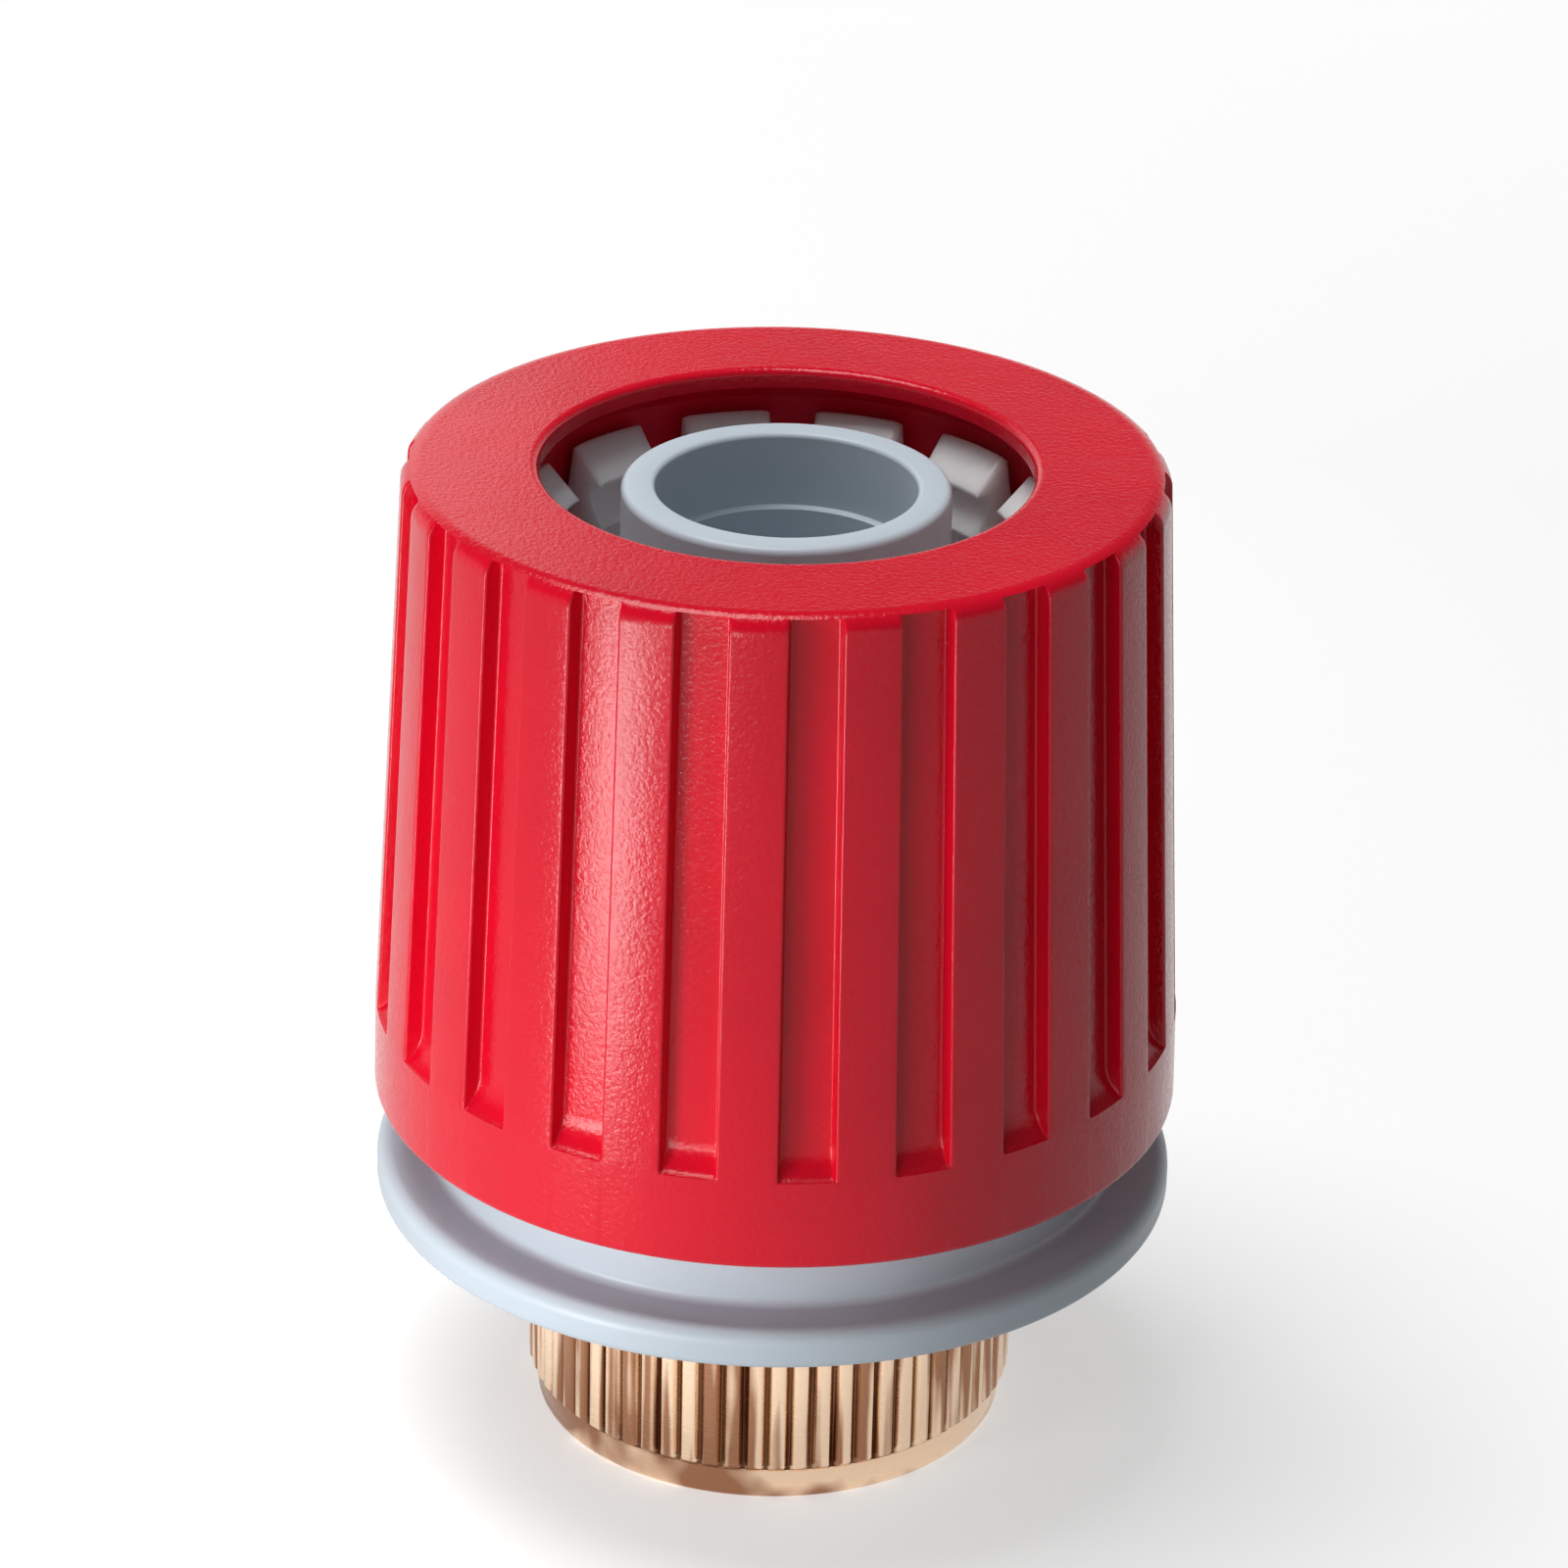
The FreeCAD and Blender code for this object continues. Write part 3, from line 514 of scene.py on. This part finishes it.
class TAPCONNECTOR_OT_grey_mouldings(bpy.types.Operator):
    """Adds the flanged body and the hose spigot"""

    bl_idname = "tapconnector.grey_mouldings"
    bl_label = "Body and spigot"

    def execute(self, context):
        s = context.scene.tap_connector.body
        plastic = make_grey_plastic(s.grey[:])
        self.add_body(s, plastic)
        self.add_spigot(s, plastic)
        return {"FINISHED"}

    def add_body(self, s, plastic):
        flange = BODY_HIGH[0]
        flange_bottom = 14.25 * MM
        flange_top = 16.55 * MM
        smooth_top = 24.45 * MM
        step = s.neck_radius - THREAD_ROOT
        neck_top = BODY_HIGH[2]
        end_chamfer = 0.6 * MM
        floor_top = 17.25 * MM
        hub, hub_bore, hub_top = 11.6 * MM, s.tube_radius + 0.05 * MM, 22.85 * MM
        bearing = 12.6 * MM
        bm = bmesh.new()
        turn_outline(bm, [
            (hub_bore, BODY_LOW[2]), (bearing, BODY_LOW[2]), (bearing, flange_bottom),
            (flange, flange_bottom), (flange, flange_top), (s.neck_radius, flange_top),
            (s.neck_radius, smooth_top), (THREAD_ROOT, smooth_top + step / 2),
            (THREAD_ROOT, neck_top - end_chamfer), (THREAD_ROOT - end_chamfer, neck_top),
            (s.neck_bore, neck_top), (s.neck_bore, floor_top), (hub, floor_top),
            (hub, hub_top), (hub_bore, hub_top),
        ])
        round_ring(bm, flange, flange_top, 0.9 * MM, segments=6)
        round_ring(bm, flange, flange_bottom, 0.5 * MM)
        round_ring(bm, s.neck_radius, flange_top, 0.5 * MM)
        round_ring(bm, s.neck_radius, smooth_top, 0.25 * MM, segments=2)
        round_ring(bm, s.neck_bore, neck_top, 0.3 * MM, segments=2)
        round_ring(bm, s.neck_bore, floor_top, 0.6 * MM, segments=3)
        round_ring(bm, hub, hub_top, 0.4 * MM, segments=3)
        wind_ridge(bm, THREAD_ROOT - THREAD_SUNK, THREAD_ROOT + THREAD_DEPTH, THREAD_BASE,
                   THREAD_CREST, NECK_THREAD_START, NECK_THREAD_TURNS, THREAD_PITCH)
        ribs, rib_width, rib_height, sunk = 6, 1.6 * MM, 3.6 * MM, 0.2 * MM
        size = (s.neck_bore - hub + 2 * sunk, rib_width, rib_height)
        middle = Vector(((s.neck_bore + hub) / 2, 0, floor_top - sunk + rib_height / 2))
        for number in range(ribs):
            turn = Matrix.Rotation(number * FULL_TURN / ribs, 4, "Z")
            place = turn @ Matrix.Translation(middle) @ Matrix.Diagonal((*size, 1.0))
            bmesh.ops.create_cube(bm, size=1.0, matrix=place)
        finish_piece(bm, "body_moulding", plastic, "connector_body")

    def add_spigot(self, s, plastic):
        top = SPIGOT_HIGH[2]
        tail, tail_top = SPIGOT_HIGH[0], SPIGOT_LOW[2] + 1.6 * MM
        mouth = s.waterway + 0.3 * MM
        ledge = top - 4.45 * MM
        barbs, barb, ramp, spacing, first = 4, 0.45 * MM, 3.0 * MM, 4.6 * MM, 27.0 * MM
        points = [(s.waterway, SPIGOT_LOW[2]), (tail, SPIGOT_LOW[2]), (tail, tail_top),
                  (s.tube_radius, tail_top)]
        for number in range(barbs):
            edge = first + spacing * number
            points += [(s.tube_radius, edge), (s.tube_radius + barb, edge + 0.05 * MM),
                       (s.tube_radius, edge + ramp)]
        points += [(s.tube_radius, top), (mouth, top), (mouth, ledge + 0.12 * MM),
                   (mouth - 0.12 * MM, ledge), (s.waterway, ledge - 0.06 * MM)]
        bm = bmesh.new()
        turn_outline(bm, points)
        round_ring(bm, s.tube_radius, top, 0.45 * MM, segments=5)
        round_ring(bm, mouth, top, 0.3 * MM)
        finish_piece(bm, "spigot_tube", plastic, "hose_spigot")


class TAPCONNECTOR_OT_claw_ring(bpy.types.Operator):
    """Adds the white ring with toothed claws"""

    bl_idname = "tapconnector.claw_ring"
    bl_label = "Clamp ring"

    def execute(self, context):
        s = context.scene.tap_connector.claws
        bm = bmesh.new()
        grip, back = 13.0 * MM, 13.8 * MM
        foot, tip, tip_height = 17.2 * MM, 15.0 * MM, RING_HIGH[2]
        inner_foot = 15.3 * MM
        collar, collar_top, slot_floor = RING_HIGH[0], 41.8 * MM, 42.8 * MM
        bore, inset, seat = 13.6 * MM, 15.6 * MM, 39.3 * MM
        teeth, tooth_edge, tooth_gap, tooth_spacing = 3, 0.2 * MM, 1.4 * MM, 2.7 * MM
        shank_top, claw_bottom = 43.05 * MM, slot_floor - 0.2 * MM
        top_round, corner_round = 0.35 * MM, 0.08 * MM
        slope = (foot - tip) / (tip_height - collar_top)
        outline = [(foot - slope * (claw_bottom - collar_top), claw_bottom), (tip, tip_height)]
        crest = tip_height - (tip - grip)
        for _ in range(teeth):
            outline += [(grip, crest), (grip, crest - tooth_edge), (back, crest - tooth_edge)]
            crest -= tooth_spacing
            outline.append((back, crest + tooth_gap))
        outline += [(inner_foot, shank_top), (inner_foot, claw_bottom)]
        spacing = FULL_TURN / s.claws
        width = spacing - s.slot_width
        begin = s.slot_turn + s.slot_width / 2
        verts = [bm.verts.new(polar(radius, begin, height)) for radius, height in outline]
        face = bm.faces.new(verts)
        bmesh.ops.spin(
            bm, geom=verts + list(face.edges) + [face], cent=(0, 0, 0), axis=(0, 0, 1),
            dvec=(0, 0, 0), angle=width, steps=10, use_merge=False, use_duplicate=False)
        bmesh.ops.recalc_face_normals(bm, faces=list(bm.faces))
        top_bottom = tip_height - (tip - grip) - NEAR
        tops = [edge for edge in bm.edges
                if all(vert.co.z > top_bottom for vert in edge.verts)
                and any(vert.co.z > tip_height - NEAR for vert in edge.verts)
                and edge.calc_face_angle() > math.radians(20)]
        round_edges(bm, tops, top_round, segments=3)
        corners = [edge for edge in bm.edges
                   if edge.is_manifold and edge.calc_face_angle() > math.radians(40)]
        round_edges(bm, corners, corner_round, segments=2, clamp_overlap=True)
        claw = list(bm.verts) + list(bm.edges) + list(bm.faces)
        bmesh.ops.spin(
            bm, geom=claw, cent=(0, 0, 0), axis=(0, 0, 1), dvec=(0, 0, 0),
            angle=spacing * (s.claws - 1), steps=s.claws - 1, use_merge=False,
            use_duplicate=True)
        turn_outline(bm, [
            (bore, RING_LOW[2]), (inset, RING_LOW[2]), (inset, seat), (collar, seat),
            (collar, collar_top), (foot, collar_top),
            (foot - slope * (slot_floor - collar_top), slot_floor), (inner_foot, slot_floor),
            (inner_foot, collar_top), (bore, collar_top - 0.5 * MM),
        ])
        finish_piece(bm, "claw_ring", make_white_plastic(s.white[:]), "clamp_ring")
        return {"FINISHED"}


def flute_columns(half_width, half_spacing, land, floor):
    """Half of a flute's section, from the middle of a land to the middle of the flute.

    Each column is a radius and an angle from the flute's middle. The wall is radial,
    with a ridge at the land's edge and a valley at the flute's floor.
    """
    ridge, valley, draft = 0.17 * MM, 0.15 * MM, 0.05 * MM
    depth = land - floor
    rise = min(ridge, 0.5 * depth)
    fall = min(valley, 0.5 * depth)
    columns = []
    for step in range(5):
        turn = math.radians(22.5 * step)
        radius = land - rise * (1 - math.cos(turn))
        columns.append((radius, half_width + ridge * (1 - math.sin(turn)) / radius))
    for step in range(5):
        turn = math.radians(22.5 * step)
        radius = floor + fall * (1 - math.sin(turn))
        aside = -draft - valley * (1 - math.cos(turn))
        columns.append((radius, half_width + aside / radius))
    edge, foot = columns[0][1], columns[-1][1]
    outer = [(land, half_spacing + (edge - half_spacing) * step / 4) for step in range(4)]
    inner = [(floor, foot * (3 - step) / 4) for step in range(4)]
    return outer + columns + inner


class TAPCONNECTOR_OT_clamp_nut(bpy.types.Operator):
    """Adds the red fluted clamp nut"""

    bl_idname = "tapconnector.clamp_nut"
    bl_label = "Clamp nut"

    def execute(self, context):
        s = context.scene.tap_connector.cap
        rim_z, top = CAP_LOW[2], CAP_HIGH[2]
        band_top, band = 26.0 * MM, 23.0 * MM
        shoulder, shoulder_round = 21.33 * MM, 1.15 * MM
        run_out = 1.9 * MM
        slope = (band - shoulder) / (top - band_top)
        half_width = s.flute_width / 2
        half_spacing = FULL_TURN / s.flutes / 2
        flute_top, end_round = top - 0.25 * MM, 0.12 * MM
        rim_round, support = 0.35 * MM, 0.06 * MM
        quarter_turn = [math.radians(18 * step) for step in range(6)]

        def surface(height):
            return band - slope * (height - band_top)

        def ring(land, floor, height):
            half = flute_columns(half_width, half_spacing, land, floor)
            whole = [(radius, -turn) for radius, turn in half]
            whole += [(radius, turn) for radius, turn in half[-2:0:-1]]
            return [polar(radius, s.flute_turn + number * 2 * half_spacing + turn, height)
                    for number in range(s.flutes) for radius, turn in whole]

        def plain(radius, height):
            return ring(radius, radius, height)

        rings = [plain(CAP_HIGH[0] - rim_round * (1 - math.sin(turn)),
                       rim_z + rim_round * (1 - math.cos(turn))) for turn in quarter_turn]
        rings += [plain(band, band_top - 0.15 * MM), plain(band, band_top)]
        # The flutes' floor runs out to the band in an arc.
        arc = (s.flute_depth ** 2 + run_out ** 2) / (2 * s.flute_depth)
        floor_end = surface(band_top + run_out) - s.flute_depth
        for share in (0.04, 0.12, 0.25, 0.4, 0.6, 0.8, 1.0):
            left = run_out * (1 - share)
            height = band_top + run_out * share
            floor = floor_end + arc - math.sqrt(arc ** 2 - left ** 2)
            land = surface(height)
            rings.append(ring(land, min(floor, land), height))
        start = top - shoulder_round
        for share in (0.33, 0.66):
            height = band_top + run_out + (start - band_top - run_out) * share
            rings.append(ring(surface(height), surface(height) - s.flute_depth, height))

        def on_round(turn):
            return (surface(start) - shoulder_round * (1 - math.cos(turn)),
                    start + shoulder_round * math.sin(turn))

        ceiling = math.asin((flute_top - start) / shoulder_round)
        below = math.asin((flute_top - end_round - start) / shoulder_round)
        for step in range(6):
            land, height = on_round(below * step / 5)
            rings.append(ring(land, surface(height) - s.flute_depth, height))
        land, height = on_round(ceiling)
        rings.append(ring(land, surface(height) - s.flute_depth + end_round, height))
        rings.append(ring(land, land - end_round, height))
        rings += [plain(*on_round(ceiling + (math.pi / 2 - ceiling) * step / 4))
                  for step in (0.35, 1, 2, 3, 4)]
        mouth, mouth_round = 13.75 * MM, 0.45 * MM
        # Rings beside both roundings keep the flat top's shading even.
        rings += [plain(on_round(math.pi / 2)[0] - support, top),
                  plain(mouth + mouth_round + support, top)]
        rings += [plain(mouth + mouth_round * (1 - math.sin(turn)),
                        top - mouth_round * (1 - math.cos(turn))) for turn in quarter_turn]
        lip, lip_bottom = 14.3 * MM, 57.7 * MM
        cone_top, cone_foot, cone_bottom = 56.5 * MM, 17.75 * MM, 41.8 * MM
        thread_wall = THREAD_ROOT + THREAD_DEPTH + THREAD_GAP
        thread_top, thread_bottom = 41.3 * MM, 25.5 * MM
        skirt, skirt_top, chamfer = 20.2 * MM, 25.2 * MM, 0.2 * MM
        rings += [plain(radius, height) for radius, height in (
            (mouth, lip_bottom), (lip, lip_bottom), (lip + lip_bottom - cone_top, cone_top),
            (cone_foot, cone_bottom), (cone_foot, thread_top), (thread_wall, thread_top),
            (thread_wall, thread_bottom), (skirt, skirt_top), (skirt, rim_z + chamfer),
            (skirt + chamfer, rim_z),
        )]
        bm = bmesh.new()
        stack_rings(bm, rings + rings[:1])
        wind_ridge(bm, thread_wall + THREAD_SUNK, thread_wall - THREAD_DEPTH, THREAD_BASE,
                   THREAD_CREST, NECK_THREAD_START + THREAD_PITCH / 2, CAP_THREAD_TURNS,
                   THREAD_PITCH)
        finish_piece(bm, "clamp_nut_fluted", make_red_plastic(s.red[:]), "clamp_nut")
        return {"FINISHED"}


# Stage

LAMPS = (  # name, place, size, power in watts
    ("side_lamp", (-0.066, -0.0683, 0.0195), (0.028, 0.036), 0.04),
    ("front_lamp", (-0.11, -0.235, 0.03), (0.12, 0.05), 0.13),
    ("top_lamp", (-0.13, 0.04, 0.56), (0.3, 0.3), 2.3),
    ("back_lamp", (-0.075, 0.16, 0.13), (0.12, 0.07), 0.028),
)
LAMP_TARGET = Vector((0, 0, 0.035))

# Greys of the floor, for the light that falls on it and for the eye.
FLOOR_LIT, FLOOR_SEEN = 0.3, 0.6
# Distance from the object and strength of the floor's glow.
GLOW_NEAR, GLOW_FAR = (0.15, 0.5), (0.6, 0.95)
# Strength of the room's light, and slope of a direction with the white seen there.
ROOM_LIGHT = 0.14
ROOM_LOW, ROOM_HIGH = (0.12, 1.0), (0.4, 0.12)


def add_lamp(name, place, size, power):
    """Adds a soft lamp that shines on the middle of the connector."""
    lamp = bpy.data.lights.new(name, "AREA")
    lamp.shape = "RECTANGLE"
    lamp.size, lamp.size_y = size
    lamp.energy = power
    obj = bpy.data.objects.new(name, lamp)
    obj.location = place
    obj.rotation_euler = (LAMP_TARGET - obj.location).to_track_quat("-Z", "Y").to_euler()
    bpy.context.collection.objects.link(obj)


def seen_directly(nodes, links):
    """1 for camera, glossy and transmission rays, else 0."""
    path = nodes.new("ShaderNodeLightPath").outputs
    seen = join_values(nodes, links, "MAXIMUM", path["Is Camera Ray"], path["Is Glossy Ray"])
    return join_values(nodes, links, "MAXIMUM", seen, path["Is Transmission Ray"])


class TAPCONNECTOR_OT_stage(bpy.types.Operator):
    """Adds the floor, the white surroundings, the lamps and the camera"""

    bl_idname = "tapconnector.stage"
    bl_label = "Stage"

    def execute(self, context):
        s = context.scene.tap_connector.stage
        context.scene.view_settings.view_transform = "Standard"
        self.add_floor(s)
        self.set_world(context.scene)
        for lamp in LAMPS:
            add_lamp(*lamp)
        self.add_camera(context.scene, s)
        return {"FINISHED"}

    def add_floor(self, s):
        bm = bmesh.new()
        bmesh.ops.create_grid(bm, x_segments=8, y_segments=8, size=s.floor_size / 2)
        mesh = bpy.data.meshes.new("floor")
        bm.to_mesh(mesh)
        bm.free()
        material = bpy.data.materials.new("floor")
        material.use_nodes = True
        nodes, links = material.node_tree.nodes, material.node_tree.links
        main = nodes["Principled BSDF"]
        seen = seen_directly(nodes, links)
        tone = nodes.new("ShaderNodeMix")
        tone.data_type = "RGBA"
        tone.inputs["A"].default_value = (FLOOR_LIT, FLOOR_LIT, FLOOR_LIT, 1.0)
        tone.inputs["B"].default_value = (FLOOR_SEEN, FLOOR_SEEN, FLOOR_SEEN, 1.0)
        links.new(seen, tone.inputs["Factor"])
        links.new(tone.outputs["Result"], main.inputs["Base Color"])
        main.inputs["Roughness"].default_value = 0.9
        main.inputs["Specular IOR Level"].default_value = 0.0
        main.inputs["Emission Color"].default_value = (1, 1, 1, 1)
        place = nodes.new("ShaderNodeTexCoord")
        reach = nodes.new("ShaderNodeVectorMath")
        reach.operation = "LENGTH"
        links.new(place.outputs["Object"], reach.inputs[0])
        glow = map_value(nodes, links, reach.outputs["Value"], GLOW_NEAR, GLOW_FAR)
        links.new(join_values(nodes, links, "MULTIPLY", seen, glow),
                  main.inputs["Emission Strength"])
        mesh.materials.append(material)
        floor = bpy.data.objects.new("floor", mesh)
        bpy.context.collection.objects.link(floor)

    def set_world(self, scene):
        world = bpy.data.worlds.new("white_room")
        world.use_nodes = True
        scene.world = world
        nodes, links = world.node_tree.nodes, world.node_tree.links
        background = nodes["Background"]
        background.inputs["Color"].default_value = (1, 1, 1, 1)
        direction = nodes.new("ShaderNodeTexCoord")
        parts = nodes.new("ShaderNodeSeparateXYZ")
        links.new(direction.outputs["Generated"], parts.inputs["Vector"])
        white = map_value(nodes, links, parts.outputs["Z"], ROOM_LOW, ROOM_HIGH)
        mix = nodes.new("ShaderNodeMix")
        mix.inputs["A"].default_value = ROOM_LIGHT
        links.new(seen_directly(nodes, links), mix.inputs["Factor"])
        links.new(white, mix.inputs["B"])
        links.new(mix.outputs["Result"], background.inputs["Strength"])

    def add_camera(self, scene, s):
        camera = bpy.data.cameras.new("camera")
        camera.lens = 143.07
        camera.sensor_width = 36.0
        camera.clip_start = 0.01
        camera.clip_end = 50.0
        obj = bpy.data.objects.new("camera", camera)
        pitch, yaw, roll = (math.radians(a) for a in (25.586, 0.037, 1.241))
        forward = Vector((math.sin(yaw) * math.cos(pitch), math.cos(yaw) * math.cos(pitch),
                          -math.sin(pitch)))
        right = Vector((math.cos(yaw), -math.sin(yaw), 0))
        up = right.cross(forward)
        right, up = (math.cos(roll) * right + math.sin(roll) * up,
                     math.cos(roll) * up - math.sin(roll) * right)
        turn = Matrix((right, up, -forward)).transposed()
        place = Matrix.Translation((0, -s.camera_distance, s.camera_height))
        obj.matrix_world = place @ turn.to_4x4()
        bpy.context.collection.objects.link(obj)
        scene.camera = obj


class TAPCONNECTOR_PT_panel(bpy.types.Panel):
    """Lists the pieces of the tap connector"""

    bl_label = "Tap Connector"
    bl_idname = "TAPCONNECTOR_PT_panel"
    bl_space_type = "VIEW_3D"
    bl_region_type = "UI"
    bl_category = "Tap Connector"

    def draw(self, context):
        settings = context.scene.tap_connector
        for group, operators in PANEL_ROWS:
            box = self.layout.box()
            part = getattr(settings, group)
            for name in part.bl_rna.properties.keys():
                if name not in ("rna_type", "name"):
                    box.prop(part, name)
            for operator in operators:
                box.operator(operator.bl_idname)


PANEL_ROWS = (
    ("union", (TAPCONNECTOR_OT_union_nut, TAPCONNECTOR_OT_gasket)),
    ("body", (TAPCONNECTOR_OT_grey_mouldings,)),
    ("claws", (TAPCONNECTOR_OT_claw_ring,)),
    ("cap", (TAPCONNECTOR_OT_clamp_nut,)),
    ("stage", (TAPCONNECTOR_OT_stage,)),
)

CLASSES = (
    UnionNutSettings, BodySettings, ClawSettings, CapSettings, StageSettings,
    TapConnectorSettings, TAPCONNECTOR_OT_union_nut, TAPCONNECTOR_OT_gasket,
    TAPCONNECTOR_OT_grey_mouldings, TAPCONNECTOR_OT_claw_ring,
    TAPCONNECTOR_OT_clamp_nut, TAPCONNECTOR_OT_stage, TAPCONNECTOR_PT_panel,
)


def register():
    for item in CLASSES:
        bpy.utils.register_class(item)
    bpy.types.Scene.tap_connector = bpy.props.PointerProperty(type=TapConnectorSettings)


def unregister():
    del bpy.types.Scene.tap_connector
    for item in reversed(CLASSES):
        bpy.utils.unregister_class(item)


def main():
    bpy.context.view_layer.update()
    register()
    bpy.ops.tapconnector.union_nut()
    bpy.ops.tapconnector.gasket()
    bpy.ops.tapconnector.grey_mouldings()
    bpy.ops.tapconnector.claw_ring()
    bpy.ops.tapconnector.clamp_nut()
    bpy.ops.tapconnector.stage()
    bpy.context.view_layer.update()


if __name__ == "__main__":
    main()
